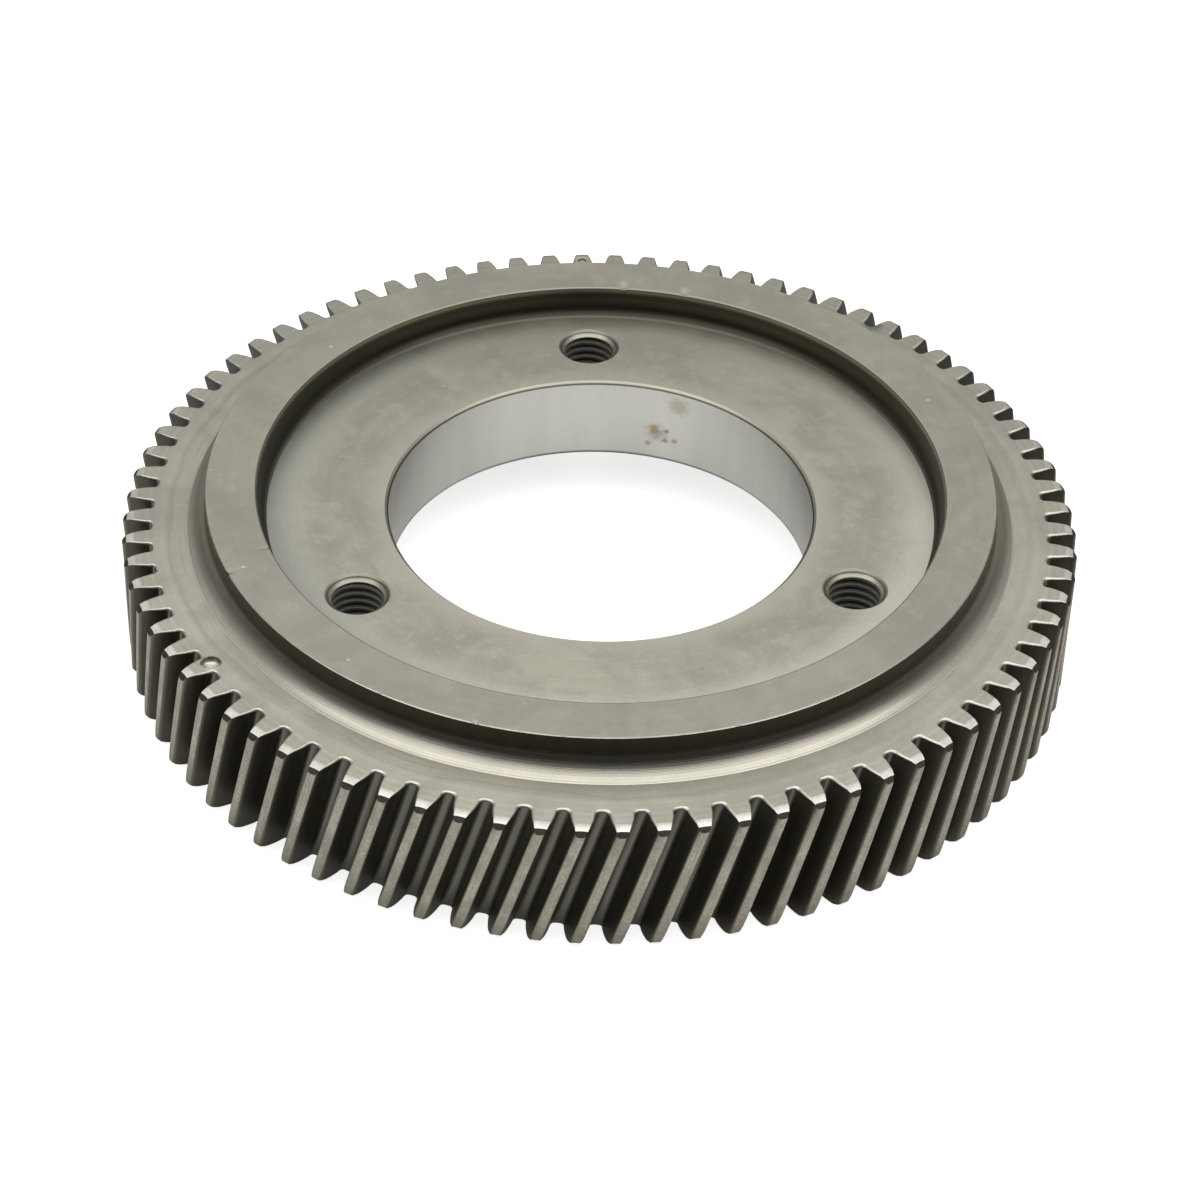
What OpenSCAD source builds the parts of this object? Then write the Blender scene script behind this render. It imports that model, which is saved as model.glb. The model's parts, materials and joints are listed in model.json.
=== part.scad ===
// Injection pump gear: a turned steel blank with helical involute teeth.
//
// The gear lies as it would on a bench, with its raised ring up. Z is the
// gear's axis, z = 0 is the lower face of the rim, and the first threaded
// hole stands on +Y, in line with the centre of a tooth at the upper face.

/* [Teeth] */
// Number of teeth
teeth = 80; // [76:1:84]
// Module square to the tooth
normal_module = 1.875; // [1.8:0.005:1.95]
// Helix angle at the pitch circle, right hand
helix_angle = 16; // [10:0.5:22]
// Pressure angle square to the tooth
pressure_angle = 14.5; // [13:0.5:16]
// Tooth height above the pitch circle, in modules
addendum_factor = 1.225; // [1.0:0.005:1.25]
// Tooth depth below the pitch circle, in modules
dedendum_factor = 1.4; // [1.2:0.01:1.4]
// Radius in the corners at the bottom of a tooth space
root_fillet = 0.7; // [0.5:0.05:0.7]

/* [Rim] */
// Width of the toothed rim
face_width = 24.3; // [20:0.1:32]
// Radius inside the rim, on the underside
rim_inner_r = 68; // [66:0.5:69]
// How far in from the tips the flat end face stops
face_bevel_reach = 2.1; // [1.5:0.1:3]
// Drop of the shallow bevel over the ends of the teeth
face_bevel_drop = 0.25; // [0.05:0.05:0.4]
// Size across the steep chamfer at the tips
tip_chamfer = 0.82; // [0.4:0.02:1.2]

/* [Hub plate and ring] */
// Height of the plate's lower face
plate_bottom = 9.9; // [8:0.1:12]
// Height of the recess floor, the plate's upper face
plate_top = 25.6; // [25:0.1:26.5]
// Outer radius of the raised ring
ring_outer_r = 66.2; // [65.5:0.1:66.5]
// Inner radius of the raised ring
ring_inner_r = 57.7; // [57:0.1:59]
// Height of the ring's upper face
ring_top = 31; // [30:0.1:33]
// Radius of the cove outside the ring
outer_cove_r = 5.24; // [5:0.02:5.6]
// Height at which the outer cove meets the ring's wall
outer_cove_top = 29.14; // [28.9:0.02:29.2]
// Radius of the cove inside the ring
inner_cove_r = 3; // [2.8:0.1:3.4]
// Height at which the inner cove meets the ring's wall
inner_cove_top = 28.22; // [28:0.02:28.3]
// Rounding of the ring's inner edge
ring_edge_r = 0.4; // [0.2:0.1:1]
// Rounding under the plate, where it meets the rim
under_fillet = 4; // [2:0.5:6]

/* [Bore and holes] */
// Bore radius
bore_r = 35.8; // [32:0.1:38]
// Chamfer at both ends of the bore
bore_chamfer = 0.6; // [0.3:0.1:1.2]
// Number of threaded holes
holes = 3; // [2:1:6]
// Radius of the circle that the threaded holes lie on
hole_circle_r = 47; // [46:0.1:48]
// Radius at the crests of the thread
hole_r = 4.25; // [4:0.05:4.5]
// Radius of the hole's mouth
mouth_r = 5.25; // [4.8:0.05:5.6]
// Depth of the tapered mouth
mouth_depth = 0.8; // [0.6:0.1:1.2]

/* [Timing marks] */
// Tooth with the large mark, counted from the first hole
mark_tooth = 27; // [0:1:75]
// Radius of the large mark's mouth
mark_r = 1.8; // [1:0.1:1.9]
// Radius of the small mark's mouth, on the tooth at the first hole
small_mark_r = 0.75; // [0.5:0.05:0.9]
// Angle across the drill point that made the marks
mark_point_angle = 118; // [90:1:140]

/* [Hidden] */
$fn = 96;
// how far a cutter stands clear of the face that it cuts
clear = 1;
// straight steps on each flank, in each corner and along the face
flank_steps = 3;
corner_steps = 2;
lead_steps = 2;

// gear geometry in the plane square to the axis
pitch_r = teeth * normal_module / cos(helix_angle) / 2;
tip_r = pitch_r + addendum_factor * normal_module;
root_r = pitch_r - dedendum_factor * normal_module;
cross_pressure_angle = atan(tan(pressure_angle) / cos(helix_angle));
base_r = pitch_r * cos(cross_pressure_angle);
tooth_pitch_angle = 360 / teeth;
turn_per_mm = tan(helix_angle) / pitch_r * 180 / PI;
first_hole_angle = 90;

// rim corners
bevel_r = tip_r - face_bevel_reach;
chamfer_r = tip_r - tip_chamfer;
chamfer_drop = face_bevel_drop + tip_chamfer;
rim_edge_chamfer = 0.8;
ring_outer_chamfer = 0.2;

// where the coves run out on the flat faces
outer_cove_height = outer_cove_top - face_width;
outer_cove_foot_r = ring_outer_r + outer_cove_r - sqrt(pow(outer_cove_r, 2) - pow(outer_cove_height, 2));
inner_cove_height = inner_cove_top - plate_top;
inner_cove_foot_r = ring_inner_r - inner_cove_r + sqrt(pow(inner_cove_r, 2) - pow(inner_cove_height, 2));

// places of the timing marks
mark_circle_r = root_r - 0.2;
small_mark_circle_r = pitch_r - 1.1;

steel = [0.60, 0.59, 0.54];

// angle swept by an involute from its base circle, in degrees
function involute_angle(pressure) = tan(pressure) * 180 / PI - pressure;

// half of the angle across a tooth space at radius r
function space_half_angle(r) =
    tooth_pitch_angle / 4
    - involute_angle(cross_pressure_angle)
    + involute_angle(acos(min(1, base_r / r)));

// point on the right flank of a tooth space that is centred on +Y
function flank_point(r) = [r * sin(space_half_angle(r)), r * cos(space_half_angle(r))];

// right half of the space's outline, from the bottom outwards
function half_space() =
    let (
        start_r = root_r + root_fillet,
        end_r = tip_r + clear,
        corner = flank_point(start_r) - [root_fillet, 0]
    )
    concat(
        [for (i = [0 : corner_steps - 1])
            let (a = 90 * i / corner_steps)
            corner + root_fillet * [sin(a), -cos(a)]],
        [for (i = [0 : flank_steps]) flank_point(start_r + (end_r - start_r) * i / flank_steps)]
    );

// outline of one tooth space
module space_outline() {
    right = half_space();
    left = [for (i = [len(right) - 1 : -1 : 0]) [-right[i][0], right[i][1]]];
    polygon(concat(right, left));
}

// one helical tooth space, centred on +Y at the upper face
module tooth_space() {
    height = face_width + 2 * clear;
    translate([0, 0, -clear])
        rotate(-turn_per_mm * (face_width + clear))
            linear_extrude(
                height = height,
                twist = -turn_per_mm * height,
                slices = lead_steps,
                segments = 0
            )
                space_outline();
}

module tooth_spaces() {
    for (i = [0 : teeth - 1])
        rotate((i + 0.5) * tooth_pitch_angle)
            tooth_space();
}

// rim in section, with its bevels and tip chamfers
module rim_section() {
    polygon([
        [rim_inner_r, rim_edge_chamfer],
        [rim_inner_r + rim_edge_chamfer, 0],
        [bevel_r, 0],
        [chamfer_r, face_bevel_drop],
        [tip_r, chamfer_drop],
        [tip_r, face_width - chamfer_drop],
        [chamfer_r, face_width - face_bevel_drop],
        [bevel_r, face_width],
        [rim_inner_r, face_width]
    ]);
}

// plate in section, from the bore to the rim
module plate_section() {
    polygon([
        [bore_r, plate_bottom + bore_chamfer],
        [bore_r + bore_chamfer, plate_bottom],
        [rim_inner_r + clear, plate_bottom],
        [rim_inner_r + clear, face_width],
        [ring_outer_r, face_width],
        [ring_outer_r, plate_top],
        [bore_r + bore_chamfer, plate_top],
        [bore_r, plate_top - bore_chamfer]
    ]);
}

// raised ring in section, with its inner edge rounded
module ring_section() {
    difference() {
        polygon([
            [ring_inner_r, plate_bottom + clear],
            [ring_outer_r, plate_bottom + clear],
            [ring_outer_r, ring_top - ring_outer_chamfer],
            [ring_outer_r - ring_outer_chamfer, ring_top],
            [ring_inner_r, ring_top]
        ]);
        difference() {
            translate([ring_inner_r - clear, ring_top - ring_edge_r])
                square([ring_edge_r + clear, ring_edge_r + clear]);
            translate([ring_inner_r + ring_edge_r, ring_top - ring_edge_r])
                circle(r = ring_edge_r);
        }
    }
}

// metal left by the round tool outside the ring
module outer_cove_section() {
    difference() {
        translate([ring_outer_r - clear, face_width - clear])
            square([outer_cove_foot_r - ring_outer_r + clear, outer_cove_height + clear]);
        translate([ring_outer_r + outer_cove_r, outer_cove_top])
            circle(r = outer_cove_r);
    }
}

// metal left by the round tool inside the ring
module inner_cove_section() {
    difference() {
        translate([inner_cove_foot_r, plate_top - clear])
            square([ring_inner_r - inner_cove_foot_r + clear, inner_cove_height + clear]);
        translate([ring_inner_r - inner_cove_r, inner_cove_top])
            circle(r = inner_cove_r);
    }
}

// fillet under the plate
module under_fillet_section() {
    difference() {
        translate([rim_inner_r - under_fillet, plate_bottom - under_fillet])
            square(under_fillet + clear);
        translate([rim_inner_r - under_fillet, plate_bottom - under_fillet])
            circle(r = under_fillet);
    }
}

// blank as it leaves the lathe
module turned_blank() {
    rotate_extrude() {
        rim_section();
        plate_section();
        ring_section();
        outer_cove_section();
        inner_cove_section();
        under_fillet_section();
    }
}

// threaded hole at the size of its crests, with a tapered mouth
module threaded_hole() {
    translate([0, 0, plate_bottom - clear])
        cylinder(r = hole_r, h = plate_top - plate_bottom + 2 * clear);
    translate([0, 0, plate_top - mouth_depth])
        cylinder(r1 = hole_r, r2 = mouth_r, h = mouth_depth);
}

module threaded_holes() {
    for (i = [0 : holes - 1])
        rotate(first_hole_angle + i * 360 / holes)
            translate([hole_circle_r, 0, 0])
                threaded_hole();
}

// conical mark left by a drill point in the upper face
module timing_mark(r) {
    depth = r / tan(mark_point_angle / 2);
    translate([0, 0, face_width - depth])
        cylinder(r1 = 0, r2 = 2 * r, h = 2 * depth);
}

module timing_marks() {
    rotate(first_hole_angle + mark_tooth * tooth_pitch_angle)
        translate([mark_circle_r, 0, 0])
            timing_mark(mark_r);
    rotate(first_hole_angle)
        translate([small_mark_circle_r, 0, 0])
            timing_mark(small_mark_r);
}

module gear() {
    color(steel)
        difference() {
            turned_blank();
            tooth_spaces();
            threaded_holes();
            timing_marks();
        }
}

gear();
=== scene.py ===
"""Finish of the injection pump gear.

The gear is one piece of steel, so the scene shows one piece. Its mesh is cut here as the real one is:
turned sections, involute teeth on a helix, broken edges, tapped holes, punch marks and nicks.
"""

import json
import math
import random

import bmesh
import bpy
import numpy as np
from mathutils import Matrix, Vector
from mathutils.geometry import delaunay_2d_cdt


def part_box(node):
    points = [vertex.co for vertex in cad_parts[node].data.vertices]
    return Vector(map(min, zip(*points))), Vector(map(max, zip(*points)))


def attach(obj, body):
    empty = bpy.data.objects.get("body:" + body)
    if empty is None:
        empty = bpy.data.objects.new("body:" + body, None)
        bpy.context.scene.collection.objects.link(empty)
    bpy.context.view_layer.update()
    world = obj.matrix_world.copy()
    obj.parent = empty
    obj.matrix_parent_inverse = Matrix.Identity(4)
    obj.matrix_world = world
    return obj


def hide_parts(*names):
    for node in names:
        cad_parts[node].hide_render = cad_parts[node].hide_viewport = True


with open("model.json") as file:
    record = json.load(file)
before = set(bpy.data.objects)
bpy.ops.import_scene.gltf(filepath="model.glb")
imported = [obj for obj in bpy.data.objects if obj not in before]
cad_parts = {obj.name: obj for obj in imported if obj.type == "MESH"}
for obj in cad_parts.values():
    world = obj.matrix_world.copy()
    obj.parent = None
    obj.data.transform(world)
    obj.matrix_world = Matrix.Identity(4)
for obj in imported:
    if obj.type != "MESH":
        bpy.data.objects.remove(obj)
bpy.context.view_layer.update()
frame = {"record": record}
random.seed(27)

MM = 0.001

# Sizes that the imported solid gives, in millimetres
_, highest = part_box("gear")
mounts = {mount["name"]: mount for mount in frame["record"]["mounts"]}
TIP_R = highest.x / MM
RING_TOP = highest.z / MM
BORE_R = mounts["bore"]["dims"]["r_mm"]
PLATE_TOP = mounts["plate_top"]["pos_m"][2] / MM
PLATE_BOTTOM = mounts["plate_bottom"]["pos_m"][2] / MM
THREAD_CREST_R = mounts["puller_hole_1"]["dims"]["r_mm"]
HOLE_CENTRES = [
    (mount["pos_m"][0] / MM, mount["pos_m"][1] / MM)
    for name, mount in mounts.items()
    if name.startswith("puller_hole")
]

# Teeth
TEETH = 80
NORMAL_MODULE = 1.875
HELIX_ANGLE = 16.0
PRESSURE_ANGLE = 14.5
ROOT_DEPTH = 1.4
ROOT_FILLET = 0.7
FACE_WIDTH = 24.3
PITCH_R = TEETH * NORMAL_MODULE / math.cos(math.radians(HELIX_ANGLE)) / 2
ROOT_R = PITCH_R - ROOT_DEPTH * NORMAL_MODULE
CROSS_PRESSURE = math.degrees(
    math.atan(math.tan(math.radians(PRESSURE_ANGLE)) / math.cos(math.radians(HELIX_ANGLE)))
)
BASE_R = PITCH_R * math.cos(math.radians(CROSS_PRESSURE))
TOOTH_PITCH = 360 / TEETH
TURN_PER_MM = math.degrees(math.tan(math.radians(HELIX_ANGLE)) / PITCH_R)
FIRST_TOOTH = 90.0
# Radii of the points on a flank between the bevel and the bottom of the space
FLANK_RADII = (77.55, 76.9, 76.3)
# Angles of the points in the corner at the bottom of a space
CORNER_ANGLES = (60, 30, 0)
# Places of the points over a rounded tip corner, from the land to the flank
TIP_SHARES = (0, 1 / 3, 2 / 3, 1)
# Rows along a tooth from its lower end, and how far the corners of its tip are worn away there
LEAD_SHARES = (0, 0.018, 0.05, 0.12, 0.35, 0.5, 0.65, 0.88, 0.95, 0.982, 1)
TIP_WEAR = (0.42, 0.24, 0.08, 0, 0, 0, 0, 0, 0.01, 0.07, 0.17)

# Ends of the teeth
BEVEL_R = TIP_R - 1.92
BEVEL_MID_R = TIP_R - 1.38
CHAMFER_R = TIP_R - 0.65
BEVEL_MID_DROP = 0.09
BEVEL_DROP = 0.41
CHAMFER_DROP = 1.13
CHAMFER_BOW = 0.06
# How unevenly the teeth are chamfered, in height
CHAMFER_SCATTER = (-0.07, 0.05)
# Width and depth of the broken edge by radius
EDGE_BREAK_RADII = (ROOT_R, ROOT_R + 0.4, 76.4, BEVEL_R, CHAMFER_R)
EDGE_BREAK_WIDTHS = (0.38, 0.36, 0.28, 0.26, 0)
EDGE_BREAK_DEPTHS = (0.4, 0.38, 0.26, 0.24, 0)
# How far the broken edge bulges towards its old corner
EDGE_BULGE = 1.3
SHARP_TIP_EDGE = 0.28
WORN_TIP_EDGE = 0.5
TIP_WEAR_START_R = 78.0

# Rim, ring and plate
RIM_INNER_R = 68.0
RIM_EDGE = 0.8
RING_OUTER_R = 66.2
RING_INNER_R = 57.7
RING_EDGE = 0.14
RING_ROUND_R = 0.4
# Rows up the ring's wall and over its top, closer together near the edges
RING_WALL_HEIGHTS = (30.1, 30.5)
RING_TOP_RADII = (65.6, 65.1, 60.0, 59.6)
OUTER_COVE_R = 5.24
OUTER_COVE_TOP = 29.14
INNER_COVE_R = 3.0
INNER_COVE_TOP = 28.22
UNDER_FILLET_R = 4.0
BORE_CHAMFER = 0.6

# Tapped holes
THREAD_PITCH = 1.5
THREAD_ROOT_R = 5.0
THREAD_FLANK_ANGLE = 30.0
THREAD_ROOT_FLAT = 1 / 8
# Mouth of a hole from the floor down: radius, depth
MOUTH = [(5.45, 0.0), (5.3, 0.05), (4.96, 0.3), (4.88, 0.44), (4.6, 0.7), (4.29, 0.98)]
# Share of a pitch by which the thread of each hole starts late
THREAD_STARTS = (0.1, 0.25, 0.83)
THREAD_COLUMNS = 60

# Timing marks: radius of the circle they lie on, angle, mouth radius
LARGE_MARK = (74.9, 211.5, 1.76)
SMALL_MARK = (77.0, 90.0, 0.85)
# Section of a mark from its mouth inwards, as shares of the mouth's radius: radius, depth
MARK_SECTION = [
    (1.0, 0.0), (0.94, -0.03), (0.87, 0.05), (0.8, 0.42), (0.7, 0.52), (0.35, 0.64), (0.1, 0.72),
]
MARK_COLUMNS = 40

# Nicks in the ring's edges: angle, radius, height, reach, depth, push outwards, push upwards
NICKS = [
    (250.4, 66.2, 30.95, 0.75, 0.22, -0.6, -0.8),
    (201.6, 66.2, 30.95, 0.9, 0.3, -0.7, -0.7),
    (262.5, 66.2, 30.95, 0.45, 0.14, -0.7, -0.7),
    (236.0, 66.2, 30.95, 0.4, 0.12, -0.7, -0.7),
    (286.0, 66.2, 30.95, 0.5, 0.13, -0.7, -0.7),
    (83.5, 58.3, 30.75, 1.0, 0.24, 0.5, -0.85),
    (72.7, 58.3, 30.75, 0.8, 0.2, 0.5, -0.85),
    (198.0, 58.3, 30.75, 0.7, 0.18, 0.5, -0.85),
]
# Angles of the nicks that have a pale rub beside them on the ring's top
RUBBED_NICKS = (83.5, 72.7)

# Columns of the turned faces, and the angle between the extra ones on each side of a nick
ROUND_COLUMNS = 720
NICK_COLUMNS = 8
NICK_SPACING = 0.17

# Points closer together than the gap are joined, and edges shorter than the shortest are taken out
WELD_GAP = 0.002
SHORTEST_EDGE = 0.0005
# Faces of one patch that meet at a wider angle than this have a sharp edge between them
SHARP_ANGLE = 58.0

# Colours of the steel
STEEL = (0.5, 0.475, 0.395)
BRIGHT_STEEL = (0.68, 0.66, 0.58)
STAIN = (0.42, 0.405, 0.34)
COOL_STAIN = (0.41, 0.425, 0.38)
PALE_RUB = (0.63, 0.605, 0.52)

# How far the flat faces fall off outwards for each millimetre, in the shading only, as the lathe left them
FACE_DISHING = 0.11
FLOOR_DISHING = 0.03

# Specks and stains on the bore's wall: angle, height, size, colour
RUST_SPECKS = [
    (71.3, 16.0, 2.7, (0.56, 0.46, 0.33)),
    (71.6, 16.3, 1.5, (0.44, 0.32, 0.19)),
    (68.3, 14.6, 0.8, (0.25, 0.22, 0.17)),
    (67.9, 16.6, 0.6, (0.2, 0.19, 0.15)),
    (65.6, 14.8, 0.8, (0.38, 0.31, 0.22)),
    (64.6, 22.6, 2.6, (0.6, 0.53, 0.43)),
    (73.4, 13.4, 0.8, (0.38, 0.31, 0.23)),
]

# Camera: its place in millimetres before the turn about the gear's axis, and its angles
CAMERA_LENS = 102.71
CAMERA_PLACE = (0.345, -460.88, 374.2)
CAMERA_TURN = -3.6
CAMERA_LOOKS_DOWN = 38.702
CAMERA_ROLL = 1.677

# Softbox: its size and place in metres, and its brightness
SOFTBOX_SIZE = (2.1, 0.84)
SOFTBOX_PLACE = (0, -0.36, 0.8)
SOFTBOX_LEVEL = 1.27

# How bright the room is by the sine of the height above the horizon
ROOM_LEVELS = [
    (0.0, 0.16), (0.2, 0.24), (0.42, 0.5), (0.55, 0.6), (0.63, 0.76), (0.68, 0.93), (0.8, 0.9), (1.0, 0.78),
]
# How bright the room is in front of the gear, as a share of what it is behind
ROOM_IN_FRONT = 0.04

# Floor: half its side in metres, its colour seen straight, and its darkest colour in the steel
FLOOR_REACH = 4
FLOOR_WHITE = 0.8
FLOOR_DARK = 0.08
# Glow that lifts the floor to white for the camera, and the glow of it in the steel
WHITE_GLOW = 0.78
STEEL_GLOW = 0.05
# How dark the floor is in the steel behind the bore's middle, where less light gets in
DARK_BEHIND = 0.38


def polar(radius, degrees):
    """Point in the plane at a radius and an angle."""
    angle = np.radians(degrees)
    return np.stack([radius * np.cos(angle), radius * np.sin(angle)], -1)


def at_height(flat, height):
    """Points of the plane lifted to a height, or each to its own."""
    heights = np.broadcast_to(height, flat.shape[:-1])[..., None]
    return np.concatenate([flat, heights], -1)


def circle_at(centre, radius, degrees, height):
    """Points of a circle or a helix round a centre."""
    return at_height(polar(radius, degrees) + centre, height)


def lathe_angles():
    """Angles of the columns on the turned faces in degrees, closer together at the nicks."""
    angles = [360 * i / ROUND_COLUMNS for i in range(ROUND_COLUMNS)]
    for nick in NICKS:
        angles += [nick[0] + NICK_SPACING * k for k in range(-NICK_COLUMNS, NICK_COLUMNS + 1)]
    return np.array(sorted({round(a % 360, 3) for a in angles}))


ANGLES = lathe_angles()


class Metal:
    """Points and faces of the gear, gathered patch by patch."""

    def __init__(self):
        self.points = []
        self.faces = []
        self.patches = []
        self.finishes = []
        self.patch = 0

    def add(self, points, faces, finish):
        """Adds faces on the given points as one smooth patch."""
        first = len(self.points)
        self.points.extend(tuple(p) for p in points)
        self.faces.extend([first + i for i in face] for face in faces)
        self.patches.extend([self.patch] * len(faces))
        self.finishes.extend([finish] * len(faces))
        self.patch += 1

    def grid(self, rows, finish, closed=True):
        """Adds quads between rows of points, an array of rows by columns by 3."""
        rows = np.asarray(rows)
        count, columns = rows.shape[:2]
        last = columns if closed else columns - 1
        faces = []
        for i in range(count - 1):
            for j in range(last):
                k = (j + 1) % columns
                faces.append((i * columns + j, i * columns + k, (i + 1) * columns + k, (i + 1) * columns + j))
        self.add(rows.reshape(-1, 3), faces, finish)

    def flat(self, loops, height, finish):
        """Adds a flat face at a height, bounded by an outer loop and the loops of its holes."""
        corners = []
        outlines = []
        for loop in loops:
            outlines.append(list(range(len(corners), len(corners) + len(loop))))
            corners.extend(Vector((float(x), float(y))) for x, y in loop)
        inside_only = 1
        nearest = 1e-5
        found = delaunay_2d_cdt(corners, [], outlines, inside_only, nearest)
        points = [(corner.x, corner.y, height) for corner in found[0]]
        kept = [list(face) for face, within in zip(found[2], found[5]) if list(within) == [0]]
        self.add(points, kept, finish)

    def refinish(self, count, chosen, finish):
        """Gives another finish to the chosen ones of the faces added last."""
        first = len(self.finishes) - count
        for number in range(count):
            if chosen(number):
                self.finishes[first + number] = finish


def dented(points):
    """Moves the points near each nick to where the blow left them."""
    points = np.array(points, float)
    for angle, radius, height, reach, depth, outwards, upwards in NICKS:
        x, y = polar(radius, angle)
        away = np.linalg.norm(points - np.array([x, y, height]), axis=-1) / reach
        share = np.clip(1 - away * away, 0, 1) ** 1.5 * depth
        push = np.array([x / radius * outwards, y / radius * outwards, upwards])
        points = points + share[..., None] * push
    return points


def turned(section):
    """Rows of points made by turning a section, a list of (radius, height), about the gear's axis."""
    return dented([at_height(polar(radius, ANGLES), height) for radius, height in section])


def arc(centre, radius, start, end, steps):
    """Section of a round tool, from the start angle to the end angle in degrees."""
    angles = np.radians(np.linspace(start, end, steps + 1))
    return [(centre[0] + radius * math.cos(a), centre[1] + radius * math.sin(a)) for a in angles]


def involute(degrees):
    """Angle swept by an involute from its base circle, in degrees."""
    return math.degrees(math.tan(math.radians(degrees))) - degrees


def tooth_half_angle(radius):
    """Angle from a tooth's centre to its flank at a radius, in degrees."""
    pressure = math.degrees(math.acos(min(1, BASE_R / radius)))
    return TOOTH_PITCH / 4 + involute(CROSS_PRESSURE) - involute(pressure)


def tip_round(edge):
    """Points over the corner between land and flank, as (radius, angle): a curve as wide as the edge."""
    corner = np.array([TIP_R, tooth_half_angle(TIP_R)])
    on_land = corner - [0, math.degrees(edge / TIP_R)]
    on_flank = np.array([TIP_R - edge, tooth_half_angle(TIP_R - edge)])
    return [
        tuple((1 - t) ** 2 * on_land + 2 * t * (1 - t) * corner + t * t * on_flank) for t in TIP_SHARES
    ]


def half_tooth(edge):
    """Half a tooth's outline from the land to the bottom of the space, as (radius, angle)."""
    start_r = ROOT_R + ROOT_FILLET
    points = tip_round(edge)
    for radius in (CHAMFER_R, BEVEL_MID_R, BEVEL_R, *FLANK_RADII, start_r):
        points.append((radius, tooth_half_angle(radius)))
    half_space = math.radians(TOOTH_PITCH / 2 - tooth_half_angle(start_r))
    corner_x = start_r * math.sin(half_space) - ROOT_FILLET
    corner_y = start_r * math.cos(half_space)
    for angle in CORNER_ANGLES:
        x = corner_x + ROOT_FILLET * math.sin(math.radians(angle))
        y = corner_y - ROOT_FILLET * math.cos(math.radians(angle))
        points.append((math.hypot(x, y), TOOTH_PITCH / 2 - math.degrees(math.atan2(x, y))))
    return points


def tooth_outline():
    """One tooth's outline, from the middle of one space to just before the middle of the next.

    The side that looks back along the turn has the worn edge. Angles are from the tooth's centre.
    """
    worn = [(radius, -angle) for radius, angle in half_tooth(WORN_TIP_EDGE)]
    sharp = half_tooth(SHARP_TIP_EDGE)
    dip = 0.004
    bottom = (worn[-1][0] - dip, -TOOTH_PITCH / 2)
    left = worn[0][1]
    right = sharp[0][1]
    land = [(TIP_R, left + (right - left) * share) for share in (1 / 3, 2 / 3)]
    return np.array([bottom] + worn[::-1] + land + sharp)


OUTLINE = tooth_outline()


def outline_with_wear(wear):
    """The outline with the corners of the tooth's tip worn away by a share of its width."""
    outline = OUTLINE.copy()
    share = np.clip((outline[:, 0] - TIP_WEAR_START_R) / (TIP_R - TIP_WEAR_START_R), 0, 1)
    outline[:, 1] *= 1 - wear * share ** 2
    return outline


HALF_POINTS = len(half_tooth(SHARP_TIP_EDGE))
# Places in the outline where it crosses the chamfer's inner edge and the bevel's inner edge
FIRST_CHAMFER = HALF_POINTS - len(TIP_SHARES)
LAST_CHAMFER = len(OUTLINE) - FIRST_CHAMFER
FIRST_BEVEL = FIRST_CHAMFER - 2
LAST_BEVEL = LAST_CHAMFER + 2


def end_drop(radius):
    """How far the end of the gear lies below its flat face at a radius."""
    return np.interp(
        radius, [BEVEL_R, BEVEL_MID_R, CHAMFER_R, TIP_R], [0, BEVEL_MID_DROP, BEVEL_DROP, CHAMFER_DROP]
    )


def edge_break_width(radius):
    """How far the broken edge reaches into the end of a tooth at a radius."""
    return np.interp(radius, EDGE_BREAK_RADII, EDGE_BREAK_WIDTHS)


def edge_break_depth(radius):
    """How far the broken edge reaches down a flank at a radius."""
    return np.interp(radius, EDGE_BREAK_RADII, EDGE_BREAK_DEPTHS)


def broken_outline(outline):
    """An outline moved into the metal by the width of the edge break."""
    radius = outline[:, 0]
    along = radius * np.radians(outline[:, 1])
    next_tooth = np.radians(TOOTH_PITCH) * ROOT_R
    wide = np.concatenate([along[-1:] - next_tooth, along, along[:1] + next_tooth])
    tall = np.concatenate([radius[-1:], radius, radius[:1]])
    step = wide[2:] - wide[:-2]
    rise = tall[2:] - tall[:-2]
    length = np.hypot(step, rise)
    width = edge_break_width(radius)
    moved_r = radius - width * step / length
    moved_along = along + width * rise / length
    return np.stack([moved_r, np.degrees(moved_along / radius)], -1)


def on_teeth(outline, height):
    """An outline's points on all teeth, an array of teeth by points by 3, turned along the helix."""
    number = np.arange(TEETH)[:, None]
    turned_by = FIRST_TOOTH + number * TOOTH_PITCH + TURN_PER_MM * (height - FACE_WIDTH)
    return at_height(polar(outline[:, 0], turned_by + outline[:, 1]), height)


def end_heights(top):
    """Height of each tooth's outline where it meets the end of the gear, by teeth and points."""
    dice = random.Random(5 if top else 6)
    drop = end_drop(OUTLINE[:, 0]) + edge_break_depth(OUTLINE[:, 0])
    drops = np.repeat(drop[None, :], TEETH, 0)
    land = slice(FIRST_CHAMFER + 1, LAST_CHAMFER)
    for number in range(TEETH):
        drops[number, land] += dice.uniform(*CHAMFER_SCATTER)
    return FACE_WIDTH - drops if top else drops


def across(left, right, columns):
    """Outline of points evenly spread from left to right, both (radius, angle)."""
    return left + (right - left) * np.linspace(0, 1, columns)[:, None]


def cut_teeth(metal):
    """Flanks, lands and spaces, with the broken edges, bevels and chamfers at both ends."""
    high = end_heights(True)
    low = end_heights(False)
    rows = []
    for share, wear in zip(LEAD_SHARES, TIP_WEAR):
        height = low + (high - low) * share
        rows.append(on_teeth(outline_with_wear(wear), height).reshape(-1, 3))
    add_tooth_sides(metal, np.array(rows))
    return [cut_tooth_ends(metal, top, high if top else low) for top in (True, False)]


def add_tooth_sides(metal, rows):
    """Adds the sides of the teeth, with the lands as their own finish."""
    metal.grid(rows, "flank")
    land_columns = range(FIRST_CHAMFER + 2, LAST_CHAMFER - 2)
    count = len(rows[0]) * (len(rows) - 1)
    metal.refinish(count, lambda face: face % len(OUTLINE) in land_columns, "land")


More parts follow.
